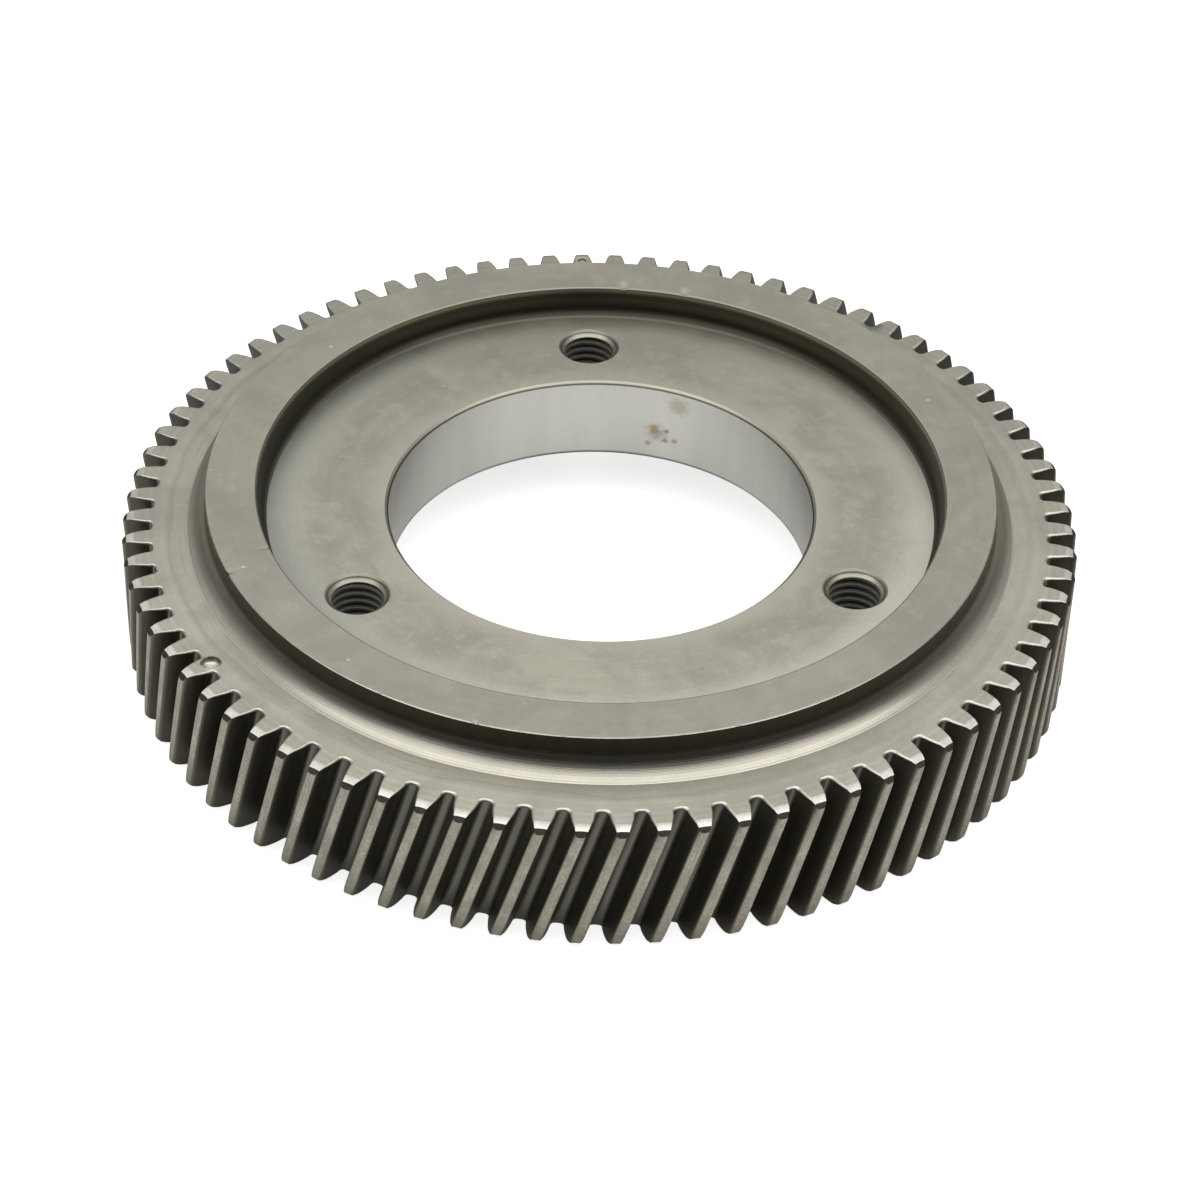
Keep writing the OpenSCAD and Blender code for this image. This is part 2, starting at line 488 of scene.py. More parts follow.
def cut_tooth_ends(metal, top, edge_height):
    """Adds one end of all teeth and returns the outline of the flat face inside them."""
    def level(radius):
        """Height of this end at a radius."""
        drop = end_drop(radius)
        return FACE_WIDTH - drop if top else drop

    outline = outline_with_wear(TIP_WEAR[-1] if top else TIP_WEAR[0])
    broken = broken_outline(outline)
    edge = on_teeth(outline, edge_height)
    inner = on_teeth(broken, level(broken[:, 0]))
    tip = slice(FIRST_CHAMFER, LAST_CHAMFER + 1)
    inner[:, tip] = edge[:, tip]
    edge_rows = [edge, inner]
    if top:
        old_corner = edge * [1, 1, 0] + inner * [0, 0, 1]
        edge_rows.insert(1, (edge + inner + EDGE_BULGE * old_corner) / (2 + EDGE_BULGE))
    metal.grid([row.reshape(-1, 3) for row in edge_rows], "edge")

    columns = LAST_CHAMFER - FIRST_CHAMFER + 1
    bow = CHAMFER_BOW * (1 - np.linspace(-1, 1, columns) ** 2)
    chamfer_row = across(outline[FIRST_CHAMFER], outline[LAST_CHAMFER], columns)
    chamfer_row[:, 0] -= bow
    mid_row = across(broken[FIRST_CHAMFER - 1], broken[LAST_CHAMFER + 1], columns)
    bevel_row = across(broken[FIRST_BEVEL], broken[LAST_BEVEL], columns)
    rows = [on_teeth(row, level(row[:, 0])) for row in (chamfer_row, mid_row, bevel_row)]
    for number in range(TEETH):
        metal.grid([edge[number, tip], rows[0][number]], "chamfer", closed=False)
        metal.grid([row[number] for row in rows], "bevel", closed=False)
    loop = np.concatenate([inner[:, :FIRST_BEVEL], rows[2], inner[:, LAST_BEVEL + 1:]], 1)
    return loop.reshape(-1, 3)[:, :2]


def punch_mark(metal, mark):
    """Adds a conical mark in the upper face and returns its outline."""
    circle_r, angle, mouth_r = mark
    centre = polar(circle_r, angle)
    turns = np.linspace(0, 360, MARK_COLUMNS, endpoint=False)
    section = [(mouth_r * share, FACE_WIDTH - depth * mouth_r) for share, depth in MARK_SECTION]
    rows = [circle_at(centre, radius, turns, height) for radius, height in section]
    metal.grid(rows, "mark")
    metal.flat([rows[-1][:, :2]], rows[-1][0, 2], "mark")
    return rows[0][:, :2]


def thread_profile():
    """Where the corners of the thread lie along one pitch, as shares of the pitch."""
    slope = math.tan(math.radians(THREAD_FLANK_ANGLE))
    flank = (THREAD_ROOT_R - THREAD_CREST_R) * slope / THREAD_PITCH
    crest = 1 - THREAD_ROOT_FLAT - 2 * flank
    return [0, crest, crest + flank, crest + flank + THREAD_ROOT_FLAT, 1]


THREAD_CORNERS = thread_profile()


def thread_radius(share):
    """Radius of the thread at a share of its pitch."""
    radii = [THREAD_CREST_R, THREAD_CREST_R, THREAD_ROOT_R, THREAD_ROOT_R, THREAD_CREST_R]
    return np.interp(share % 1, THREAD_CORNERS, radii)


def tap_hole(metal, centre, number):
    """Adds a tapped hole with its countersunk mouth and returns its upper and lower outlines."""
    crest, flank, root = THREAD_CORNERS[1:4]
    shares = [0, crest / 2, crest, (crest + flank) / 2, flank, root, (root + 1) / 2]
    turns = np.linspace(0, 1, THREAD_COLUMNS + 1)
    start = THREAD_STARTS[number]
    lip_foot = PLATE_TOP - MOUTH[-1][1]
    first = math.floor(PLATE_BOTTOM / THREAD_PITCH) - 2
    last = math.ceil(PLATE_TOP / THREAD_PITCH) + 1
    rows = []
    for pitch in range(first, last):
        for share in shares:
            height = (pitch + share + turns + start) * THREAD_PITCH
            height = np.clip(height, PLATE_BOTTOM, lip_foot)
            radius = thread_radius(height / THREAD_PITCH - turns - start)
            rows.append(circle_at(centre, radius, turns * 360, height))
    metal.grid(rows, "thread", closed=False)
    ridge_rows = (0, 1, 2)
    count = THREAD_COLUMNS * (len(rows) - 1)
    metal.refinish(count, lambda face: face // THREAD_COLUMNS % len(shares) in ridge_rows, "thread_ridge")
    mouth = [circle_at(centre, radius, turns * 360, PLATE_TOP - depth) for radius, depth in MOUTH[::-1]]
    metal.grid([rows[-1], mouth[0]], "thread", closed=False)
    metal.grid(mouth, "mouth", closed=False)
    return mouth[-1][:-1, :2], rows[0][:-1, :2]


def turn_blank(metal):
    """Adds every turned face between the rim's land and the bore, and under the plate."""
    cove_foot = math.degrees(math.acos((OUTER_COVE_TOP - FACE_WIDTH) / OUTER_COVE_R))
    outer = arc((RING_OUTER_R + OUTER_COVE_R, OUTER_COVE_TOP), OUTER_COVE_R, 270 - cove_foot, 180, 12)
    wall = [(RING_OUTER_R, height) for height in (*RING_WALL_HEIGHTS, RING_TOP - RING_EDGE)]
    metal.grid(turned(outer + wall), "cove")
    round_start = RING_INNER_R + RING_ROUND_R
    top = [(radius, RING_TOP) for radius in (RING_OUTER_R - RING_EDGE, *RING_TOP_RADII, round_start)]
    metal.grid(turned([wall[-1], top[0]]), "ring_edge")
    metal.grid(turned(top), "ring_top")
    inner_round = arc((round_start, RING_TOP - RING_ROUND_R), RING_ROUND_R, 90, 180, 6)
    inner_foot = math.degrees(math.acos((INNER_COVE_TOP - PLATE_TOP) / INNER_COVE_R))
    inner_cove = arc((RING_INNER_R - INNER_COVE_R, INNER_COVE_TOP), INNER_COVE_R, 0, inner_foot - 90, 6)
    metal.grid(turned(inner_round + inner_cove), "ring_inside")
    chamfer_r = BORE_R + BORE_CHAMFER
    metal.grid(turned([(chamfer_r, PLATE_TOP), (BORE_R, PLATE_TOP - BORE_CHAMFER)]), "bore_edge")
    bore = [(BORE_R, h) for h in np.linspace(PLATE_TOP - BORE_CHAMFER, PLATE_BOTTOM + BORE_CHAMFER, 4)]
    metal.grid(turned(bore), "bore")
    metal.grid(turned([(BORE_R, PLATE_BOTTOM + BORE_CHAMFER), (chamfer_r, PLATE_BOTTOM)]), "bore_edge")
    under = arc((RIM_INNER_R - UNDER_FILLET_R, PLATE_BOTTOM - UNDER_FILLET_R), UNDER_FILLET_R, 90, 0, 6)
    metal.grid(turned(under + [(RIM_INNER_R, RIM_EDGE)]), "under")
    metal.grid(turned([(RIM_INNER_R, RIM_EDGE), (RIM_INNER_R + RIM_EDGE, 0)]), "edge")
    return outer[0][0], inner_cove[-1][0], chamfer_r


def cut_gear():
    """Gathers the whole gear as metal."""
    metal = Metal()
    top_loop, bottom_loop = cut_teeth(metal)
    land_inner_r, floor_outer_r, chamfer_r = turn_blank(metal)
    marks = [punch_mark(metal, mark) for mark in (LARGE_MARK, SMALL_MARK)]
    metal.flat([top_loop, polar(land_inner_r, ANGLES)] + marks, FACE_WIDTH, "end_face")
    metal.flat([bottom_loop, polar(RIM_INNER_R + RIM_EDGE, ANGLES)], 0, "end_face")
    holes = [tap_hole(metal, centre, number) for number, centre in enumerate(HOLE_CENTRES)]
    bore = polar(chamfer_r, ANGLES)
    mouths = [hole[0] for hole in holes]
    feet = [hole[1] for hole in holes]
    metal.flat([polar(floor_outer_r, ANGLES), bore] + mouths, PLATE_TOP, "floor")
    metal.flat([polar(RIM_INNER_R - UNDER_FILLET_R, ANGLES), bore] + feet, PLATE_BOTTOM, "under")
    return metal


def make_piece(metal, materials):
    """Joins the patches into one closed mesh, with sharp edges where patches meet."""
    names = list(materials)
    mesh = bpy.data.meshes.new("finished_gear")
    for name in names:
        mesh.materials.append(materials[name])
    work = bmesh.new()
    patch_layer = work.faces.layers.int.new("patch")
    verts = [work.verts.new((x * MM, y * MM, z * MM)) for x, y, z in metal.points]
    for face, patch, finish in zip(metal.faces, metal.patches, metal.finishes):
        made = work.faces.new([verts[i] for i in face])
        made[patch_layer] = patch
        made.material_index = names.index(finish)
        made.smooth = True
    bmesh.ops.remove_doubles(work, verts=work.verts[:], dist=WELD_GAP * MM)
    bmesh.ops.dissolve_degenerate(work, dist=SHORTEST_EDGE * MM, edges=work.edges[:])
    bmesh.ops.recalc_face_normals(work, faces=work.faces[:])
    corner = math.radians(SHARP_ANGLE)
    open_edges = 0
    for edge in work.edges:
        if len(edge.link_faces) != 2:
            open_edges += 1
            continue
        one, other = edge.link_faces
        edge.smooth = one[patch_layer] == other[patch_layer] and edge.calc_face_angle(0) < corner
    print("gear mesh:", len(work.faces), "faces,", open_edges, "open edges")
    work.faces.layers.int.remove(patch_layer)
    work.to_mesh(mesh)
    work.free()
    piece = bpy.data.objects.new("finished_gear", mesh)
    bpy.context.scene.collection.objects.link(piece)
    return piece


def put(tree, kind, inputs=None, **settings):
    """Puts a node into a tree, with its settings, and its inputs as values or links."""
    made = tree.nodes.new(kind)
    for name, value in settings.items():
        setattr(made, name, value)
    for name, value in (inputs or {}).items():
        if isinstance(value, bpy.types.NodeSocket):
            tree.links.new(value, made.inputs[name])
        else:
            made.inputs[name].default_value = value
    return made


def math_node(tree, operation, *values):
    """Puts a Math node and returns its output."""
    return put(tree, "ShaderNodeMath", dict(enumerate(values)), operation=operation).outputs[0]


def ramp(tree, value, low, high, to_low=0.0, to_high=1.0):
    """Puts a smooth Map Range node and returns its output."""
    inputs = {"Value": value, "From Min": low, "From Max": high, "To Min": to_low, "To Max": to_high}
    return put(tree, "ShaderNodeMapRange", inputs, interpolation_type="SMOOTHSTEP").outputs["Result"]


def new_effect(name, outputs, **inputs):
    """Makes an empty node group with named outputs, and named inputs at their usual values."""
    group = bpy.data.node_groups.new(name, "ShaderNodeTree")
    for socket, value in inputs.items():
        kind = "NodeSocketVector" if isinstance(value, tuple) else "NodeSocketFloat"
        made = group.interface.new_socket(socket, in_out="INPUT", socket_type=kind)
        made.default_value = value
    for socket in outputs:
        group.interface.new_socket(socket, in_out="OUTPUT", socket_type="NodeSocketFloat")
    return group, group.nodes.new("NodeGroupInput").outputs, group.nodes.new("NodeGroupOutput").inputs


def place_in_mm(tree):
    """Position on the gear in millimetres."""
    place = put(tree, "ShaderNodeTexCoord").outputs["Object"]
    return put(tree, "ShaderNodeVectorMath", {0: place, "Scale": 1 / MM}, operation="SCALE").outputs[0]


def place_along(tree, place, axis):
    """One coordinate of a place."""
    return put(tree, "ShaderNodeSeparateXYZ", {0: place}).outputs[axis]


def stretched(tree, place, factors):
    """A place with each of its coordinates multiplied by a factor of its own."""
    return put(tree, "ShaderNodeVectorMath", {0: place, 1: factors}, operation="MULTIPLY").outputs[0]


def distance_from_axis(tree, place):
    """Distance of a place from the gear's axis."""
    flat = stretched(tree, place, (1, 1, 0))
    return put(tree, "ShaderNodeVectorMath", {0: flat}, operation="LENGTH").outputs["Value"]


def noise(tree, place, scale, detail, **more):
    """Puts a Noise node and returns its output."""
    inputs = {"Vector": place, "Scale": scale, "Detail": detail, **more}
    return put(tree, "ShaderNodeTexNoise", inputs).outputs[0]


def turning_lines():
    """Rings left by the lathe tool, fine ones and broad bands."""
    group, given, made = new_effect("turning_lines", ["Lines", "Bands"], Spacing=0.4, Wander=0.2)
    place = place_in_mm(group)
    profile = math_node(group, "SUBTRACT", distance_from_axis(group, place), place_along(group, place, "Z"))
    drift = math_node(group, "SUBTRACT", noise(group, place, 0.06, 1.0), 0.5)
    drift = math_node(group, "MULTIPLY", drift, given["Wander"])
    profile = math_node(group, "ADD", profile, drift)
    fine = {"W": math_node(group, "DIVIDE", profile, given["Spacing"]), "Scale": 1.0, "Detail": 2.0}
    lines = put(group, "ShaderNodeTexNoise", fine, noise_dimensions="1D").outputs[0]
    broad = {"W": profile, "Scale": 0.7, "Detail": 2.0}
    bands = put(group, "ShaderNodeTexNoise", broad, noise_dimensions="1D").outputs[0]
    group.links.new(ramp(group, lines, 0.25, 0.75), made["Lines"])
    group.links.new(ramp(group, bands, 0.3, 0.7), made["Bands"])
    return group


def stain_clouds():
    """Soft cloudy stains, and smaller blots inside them."""
    group, given, made = new_effect("stain_clouds", ["Clouds", "Blots"], Size=14.0)
    place = place_in_mm(group)
    scale = math_node(group, "DIVIDE", 1.0, given["Size"])
    finer = math_node(group, "MULTIPLY", scale, 3.7)
    clouds = noise(group, place, scale, 4.0, Roughness=0.6, Distortion=0.7)
    blots = noise(group, place, finer, 5.0, Roughness=0.7)
    group.links.new(ramp(group, clouds, 0.36, 0.64), made["Clouds"])
    group.links.new(ramp(group, blots, 0.5, 0.68), made["Blots"])
    return group


def metal_grain():
    """Fine even grain."""
    group, given, made = new_effect("metal_grain", ["Grain"], Size=0.3)
    scale = math_node(group, "DIVIDE", 1.0, given["Size"])
    grain = noise(group, place_in_mm(group), scale, 3.0, Roughness=0.6)
    group.links.new(ramp(group, grain, 0.25, 0.75), made["Grain"])
    return group


def tooth_streaks():
    """Streaks that run along the teeth, as the hob leaves them."""
    group, given, made = new_effect("tooth_streaks", ["Streaks"], Width=0.3)
    place = place_in_mm(group)
    turn = math_node(group, "MULTIPLY", place_along(group, place, "Z"), -math.radians(TURN_PER_MM))
    inputs = {"Vector": place, "Angle": turn}
    straight = put(group, "ShaderNodeVectorRotate", inputs, rotation_type="Z_AXIS").outputs[0]
    scale = math_node(group, "DIVIDE", 1.0, given["Width"])
    streaks = noise(group, stretched(group, straight, (1, 1, 0.05)), scale, 3.0)
    group.links.new(ramp(group, streaks, 0.3, 0.7), made["Streaks"])
    return group


def ragged_spot():
    """A spot with a ragged edge round a place, such as rust or a rub."""
    group, given, made = new_effect("ragged_spot", ["Mask"], Place=(0, 0, 0), Size=2.0, Ragged=1.0)
    place = place_in_mm(group)
    ends = {0: place, 1: given["Place"]}
    away = put(group, "ShaderNodeVectorMath", ends, operation="DISTANCE").outputs["Value"]
    rough = math_node(group, "SUBTRACT", noise(group, place, 1.1, 4.0), 0.5)
    rough = math_node(group, "MULTIPLY", rough, given["Ragged"])
    away = math_node(group, "ADD", away, rough)
    share = math_node(group, "DIVIDE", away, given["Size"])
    group.links.new(ramp(group, share, 1.0, 0.2), made["Mask"])
    return group


def handling_specks():
    """Tiny bright dents from years of handling."""
    group, given, made = new_effect("handling_specks", ["Specks"], Spread=5.0)
    scale = math_node(group, "DIVIDE", 1.0, given["Spread"])
    cells = put(group, "ShaderNodeTexVoronoi", {"Vector": place_in_mm(group), "Scale": scale}).outputs
    chance = put(group, "ShaderNodeSeparateColor", {0: cells["Color"]}).outputs
    size = math_node(group, "MULTIPLY", chance["Red"], 0.12)
    share = math_node(group, "DIVIDE", cells["Distance"], size)
    few = ramp(group, chance["Green"], 0.55, 0.6)
    group.links.new(math_node(group, "MULTIPLY", ramp(group, share, 1.0, 0.4), few), made["Specks"])
    return group


class Finish:
    """One finish of the steel, built up in its own material."""

    effects = {}

    def __init__(self, name, colour, roughness, metallic=1.0):
        self.material = bpy.data.materials.new(name)
        self.material.use_nodes = True
        self.tree = self.material.node_tree
        self.shader = self.tree.nodes["Principled BSDF"]
        self.shader.inputs["Metallic"].default_value = metallic
        self.colour = put(self.tree, "ShaderNodeRGB").outputs[0]
        self.colour.default_value = (*colour, 1)
        self.roughness = roughness
        self.relief = None

    def effect(self, name, **inputs):
        """Places one of the shared effects and returns its outputs."""
        return put(self.tree, "ShaderNodeGroup", inputs, node_tree=self.effects[name]).outputs

    def along(self, axis):
        """Coordinate along one axis of the gear, in millimetres."""
        return place_along(self.tree, place_in_mm(self.tree), axis)

    def from_axis(self):
        """Distance from the gear's axis, in millimetres."""
        return distance_from_axis(self.tree, place_in_mm(self.tree))

    def spot(self, radius, angle, height, size, ragged):
        """Places a ragged spot on the gear and returns its mask."""
        x, y = polar(radius, angle)
        return self.effect("ragged_spot", Place=(x, y, height), Size=size, Ragged=ragged)["Mask"]

    def shade(self, mask, amount):
        """Lightens the colour where the mask is high and darkens it where it is low."""
        factor = math_node(self.tree, "MULTIPLY_ADD", mask, 2 * amount, 1 - amount)
        scaled = put(self.tree, "ShaderNodeVectorMath", {0: self.colour, "Scale": factor}, operation="SCALE")
        self.colour = scaled.outputs[0]

    def tint(self, mask, colour, amount=1.0):
        """Mixes another colour in by a mask."""
        factor = math_node(self.tree, "MULTIPLY", mask, amount)
        mixed = put(self.tree, "ShaderNodeMix", data_type="RGBA")
        colours = [socket for socket in mixed.inputs if socket.type == "RGBA"]
        self.tree.links.new(factor, mixed.inputs["Factor"])
        self.tree.links.new(self.colour, colours[0])
        colours[1].default_value = (*colour, 1)
        self.colour = [socket for socket in mixed.outputs if socket.type == "RGBA"][0]

    def fade(self, value, low, high, colour, amount=1.0):
        """Mixes another colour in, from none where the value is low to all of it where it is high."""
        self.tint(ramp(self.tree, value, low, high), colour, amount)

    def roughen(self, mask, amount):
        """Adds to the roughness where the mask is high and takes from it where it is low."""
        least = math_node(self.tree, "SUBTRACT", self.roughness, amount)
        self.roughness = math_node(self.tree, "MULTIPLY_ADD", mask, 2 * amount, least)

    def raise_by(self, mask, millimetres):
        """Raises the surface where the mask is high, in the shading only."""
        raised = math_node(self.tree, "MULTIPLY", mask, millimetres * MM)
        if self.relief is not None:
            raised = math_node(self.tree, "ADD", raised, self.relief)
        self.relief = raised

    def grain(self, size, shade, height):
        """Gives the steel its fine grain, in colour and in relief."""
        grain = self.effect("metal_grain", Size=size)["Grain"]
        self.shade(grain, shade)
        self.raise_by(grain, height)

    def brush(self):
        """Gives an edge the uneven look that a wire brush leaves."""
        stains = self.effect("stain_clouds", Size=2.5)
        self.grain(0.35, shade=0.07, height=0.004)
        self.shade(stains["Clouds"], 0.08)

    def done(self):
        """Joins what was built to the shader and returns the material."""
        self.tree.links.new(self.colour, self.shader.inputs["Base Color"])
        if isinstance(self.roughness, bpy.types.NodeSocket):
            self.tree.links.new(self.roughness, self.shader.inputs["Roughness"])
        else:
            self.shader.inputs["Roughness"].default_value = self.roughness
        if self.relief is not None:
            bump = put(self.tree, "ShaderNodeBump", {"Height": self.relief, "Distance": 1.0, "Strength": 1.0})
            self.tree.links.new(bump.outputs[0], self.shader.inputs["Normal"])
        return self.material


def end_face():
    """End faces of the rim: rough turned steel with cloudy stains and a band of wavy dark lines."""
    finish = Finish("end_face", (0.61, 0.585, 0.487), 0.47)
    radius = finish.from_axis()
    rings = finish.effect("turning_lines", Spacing=0.5, Wander=1.6)
    waves = finish.effect("turning_lines", Spacing=0.75, Wander=5.0)
    stains = finish.effect("stain_clouds", Size=13.0)
    damp = finish.effect("stain_clouds", Size=7.0)
    finish.tint(stains["Clouds"], STAIN, 0.4)
    finish.tint(damp["Clouds"], COOL_STAIN, 0.25)
    finish.tint(stains["Blots"], PALE_RUB, 0.35)
    finish.shade(rings["Lines"], 0.03)
    finish.shade(rings["Bands"], 0.035)
    wavy = ramp(finish.tree, radius, 70.4, 71)
    for value, low, high in ((radius, 73.4, 72.4), (waves["Lines"], 0.55, 0.2), (finish.along("X"), 30, 5)):
        wavy = math_node(finish.tree, "MULTIPLY", wavy, ramp(finish.tree, value, low, high))
    finish.tint(wavy, (0.38, 0.36, 0.3), 0.3)
    finish.grain(0.28, shade=0.06, height=0.004)
    rub = finish.spot(77.4, FIRST_TOOTH, FACE_WIDTH, size=1.5, ragged=1.2)
    finish.tint(rub, (0.9, 0.88, 0.8), 0.8)
    stain = finish.spot(75.7, 46.5, FACE_WIDTH, size=2.4, ragged=2.0)
    finish.tint(stain, (0.16, 0.19, 0.14), 0.75)
    finish.roughen(stains["Clouds"], 0.05)
    finish.raise_by(rings["Lines"], 0.002)
    finish.raise_by(radius, -FACE_DISHING)
    return finish.done()


def ring_top():
    """Top of the ring: fine rings, cloudy stains, a few rubs and dents."""
    finish = Finish("ring_top", STEEL, 0.4)
    rings = finish.effect("turning_lines", Spacing=0.5, Wander=1.6)
    stains = finish.effect("stain_clouds", Size=17.0)
    specks = finish.effect("handling_specks", Spread=4.5)
    finish.tint(stains["Clouds"], STAIN, 0.7)
    finish.tint(stains["Blots"], PALE_RUB, 0.3)
    finish.shade(rings["Lines"], 0.02)
    finish.shade(rings["Bands"], 0.02)
    finish.grain(0.28, shade=0.05, height=0.003)
    for angle in RUBBED_NICKS:
        finish.tint(finish.spot(59.4, angle, RING_TOP, size=1.5, ragged=1.2), PALE_RUB, 0.7)
    finish.tint(specks["Specks"], (0.8, 0.78, 0.7), 0.9)
    finish.roughen(stains["Clouds"], 0.05)
    finish.raise_by(rings["Lines"], 0.0018)
    return finish.done()


def recess_floor():
    """Floor round the bore: rings almost worn away, larger stains, pale patches, and painted light that
    lightens it towards the ring's wall.
    """
    finish = Finish("recess_floor", (0.59, 0.565, 0.47), 0.45)
    radius = finish.from_axis()
    rings = finish.effect("turning_lines", Spacing=0.6, Wander=2.5)
    stains = finish.effect("stain_clouds", Size=11.0)
    broad = finish.effect("stain_clouds", Size=26.0)
    specks = finish.effect("handling_specks", Spread=6.0)
    finish.tint(stains["Clouds"], STAIN, 0.6)
    finish.tint(broad["Clouds"], STAIN, 0.35)
    finish.tint(stains["Blots"], PALE_RUB, 0.5)
    # Painted light: the floor turns lighter towards the ring's wall.
    finish.fade(radius, 47, 55.5, (0.77, 0.745, 0.635), 0.85)
    left = ramp(finish.tree, finish.along("X"), -10, -45)
    cool = math_node(finish.tree, "MULTIPLY", ramp(finish.tree, radius, 48, 56), left)
    finish.tint(cool, COOL_STAIN, 0.85)
    finish.shade(rings["Lines"], 0.012)
    finish.shade(rings["Bands"], 0.015)
    finish.grain(0.3, shade=0.05, height=0.003)
    finish.fade(radius, BORE_R + 5.0, BORE_R + 0.9, PALE_RUB, 0.6)
    finish.tint(specks["Specks"], BRIGHT_STEEL, 0.7)
    finish.roughen(stains["Clouds"], 0.03)
    finish.raise_by(radius, -FLOOR_DISHING)
    return finish.done()


def cove_finish():
    """Outer cove and ring wall: clear lines from the round tool, and painted shade that turns the colour near
    black up the wall.
    """
    finish = Finish("cove", (0.53, 0.505, 0.425), 0.29)
    rings = finish.effect("turning_lines", Spacing=0.28, Wander=0.3)
    grain = finish.effect("metal_grain", Size=0.25)
    stains = finish.effect("stain_clouds", Size=9.0)
    finish.shade(rings["Lines"], 0.18)
    finish.shade(rings["Bands"], 0.07)
    finish.shade(grain["Grain"], 0.08)
    finish.tint(stains["Clouds"], STAIN, 0.3)
    # Painted shade: from the upper cove up the wall the colour turns near black.
    finish.fade(finish.along("Z"), OUTER_COVE_TOP - 2.6, OUTER_COVE_TOP - 1.0, (0.08, 0.073, 0.054))
    finish.raise_by(rings["Lines"], 0.01)
    return finish.done()


def ring_inside_finish():
    """Inner wall of the ring: its dark colour is painted shade of the recess, lightening towards the top,
    with a painted highlight along the top edge and painted light at the foot.
    """
    finish = Finish("ring_inside", (0.065, 0.06, 0.045), 0.38)
    height = finish.along("Z")
    rings = finish.effect("turning_lines", Spacing=0.4, Wander=0.4)
    finish.shade(rings["Lines"], 0.12)
    # Painted shade: the dark wall lightens towards the top edge.
    finish.fade(height, RING_TOP - 1.3, RING_TOP - 0.35, (0.34, 0.32, 0.25))
    # Painted highlight along the ring's inner top edge.
    finish.fade(height, RING_TOP - 0.12, RING_TOP - 0.01, (0.56, 0.54, 0.46), 0.7)
    # Painted light: a little lighter just above the floor of the recess.
    finish.fade(height, PLATE_TOP + 0.4, PLATE_TOP + 0.1, (0.33, 0.31, 0.25), 0.25)
    finish.raise_by(rings["Lines"], 0.004)
    return finish.done()


def edge_finish(name, colour, roughness):
    """Broken edges, brushed bright."""
    finish = Finish(name, colour, roughness)
    finish.brush()
    return finish.done()


def end_bevel():
    """Bevel over the ends of the teeth, with a painted highlight that brightens its colour towards the tips.
    """
    finish = Finish("end_bevel", (0.62, 0.595, 0.5), 0.38)
    # Painted highlight: the colour brightens outwards over the bevel.
    finish.fade(finish.from_axis(), BEVEL_R - 0.5, BEVEL_MID_R + 0.1, (0.84, 0.82, 0.74))
    finish.brush()
    return finish.done()


def tip_chamfer():
    """Chamfer at the tips, with painted shade: its colour is near black."""
    finish = Finish("tip_chamfer", (0.05, 0.045, 0.033), 0.5, metallic=0.35)
    finish.grain(0.4, shade=0.35, height=0.02)
    return finish.done()


def tooth_land():
    """Outer faces of the teeth, brownish, with streaks along the tooth and painted shade towards its lower
    end, near the floor.
    """
    finish = Finish("tooth_land", (0.56, 0.527, 0.435), 0.41)
    streaks = finish.effect("tooth_streaks", Width=0.45)
    stains = finish.effect("stain_clouds", Size=6.0)
    finish.shade(streaks["Streaks"], 0.16)
    finish.grain(0.5, shade=0.2, height=0.006)
    finish.tint(stains["Clouds"], (0.33, 0.3, 0.23), 0.45)
    # Painted shade: darker towards the lower end of the tooth.
    finish.fade(finish.along("Z"), 7, 0.8, (0.2, 0.185, 0.145), 0.5)
    finish.roughen(streaks["Streaks"], 0.05)
    finish.raise_by(streaks["Streaks"], 0.004)
    return finish.done()


def tooth_flank():
    """Flanks and spaces: the bottom of a space keeps the grey base colour, the flanks are painted dark with
    the shade between the teeth, and they turn lighter again near the tips.
    """
    finish = Finish("tooth_flank", (0.25, 0.24, 0.2), 0.4, metallic=0.85)
    radius = finish.from_axis()
    streaks = finish.effect("tooth_streaks", Width=0.5)
    finish.shade(streaks["Streaks"], 0.08)
    # Painted shade: the flanks above the bottom of the space turn dark.
    finish.fade(radius, ROOT_R + 0.3, ROOT_R + 0.46, (0.125, 0.117, 0.088))
    # Lighter again near the tips.
    finish.fade(radius, TIP_R - 0.8, TIP_R - 0.2, (0.24, 0.222, 0.175))
    finish.raise_by(streaks["Streaks"], 0.003)
    return finish.done()


def punch_finish():
    """Timing marks, with painted shade on their steep walls and a painted highlight at the bottom."""
    finish = Finish("punch_mark", (0.6, 0.58, 0.49), 0.36)
    height = finish.along("Z")
    # Painted shade just inside the rim.
    finish.fade(height, FACE_WIDTH - 0.03, FACE_WIDTH - 0.15, (0.32, 0.305, 0.25))
    # Painted highlight at the bottom.
    finish.fade(height, FACE_WIDTH - 0.3, FACE_WIDTH - 0.8, (0.62, 0.6, 0.51))
    finish.grain(0.3, shade=0.1, height=0.006)
    return finish.done()


def thread_finish(name, colour):
    """Thread, in a dark colour."""
    finish = Finish(name, colour, 0.52, metallic=0.3)
    finish.grain(0.3, shade=0.15, height=0.004)
    return finish.done()


def hole_mouth():
    """Mouth of a tapped hole, with a ring of painted shade near its top and painted shade again where the
    thread begins.
    """
    finish = Finish("hole_mouth", (0.5, 0.482, 0.4), 0.4)
    height = finish.along("Z")
    finish.grain(0.3, shade=0.1, height=0.004)
    # Painted shade: a dark ring near the top of the mouth, easing to a mid tone above it.
    finish.fade(height, PLATE_TOP - 0.5, PLATE_TOP - 0.4, (0.15, 0.14, 0.108), 0.8)
    finish.fade(height, PLATE_TOP - 0.32, PLATE_TOP - 0.2, (0.34, 0.325, 0.265))
    finish.fade(height, PLATE_TOP - 0.05, PLATE_TOP, STEEL)
    # Painted shade: darker again where the thread begins.
    finish.fade(height, PLATE_TOP - 0.86, PLATE_TOP - 0.98, (0.3, 0.28, 0.22))
    return finish.done()


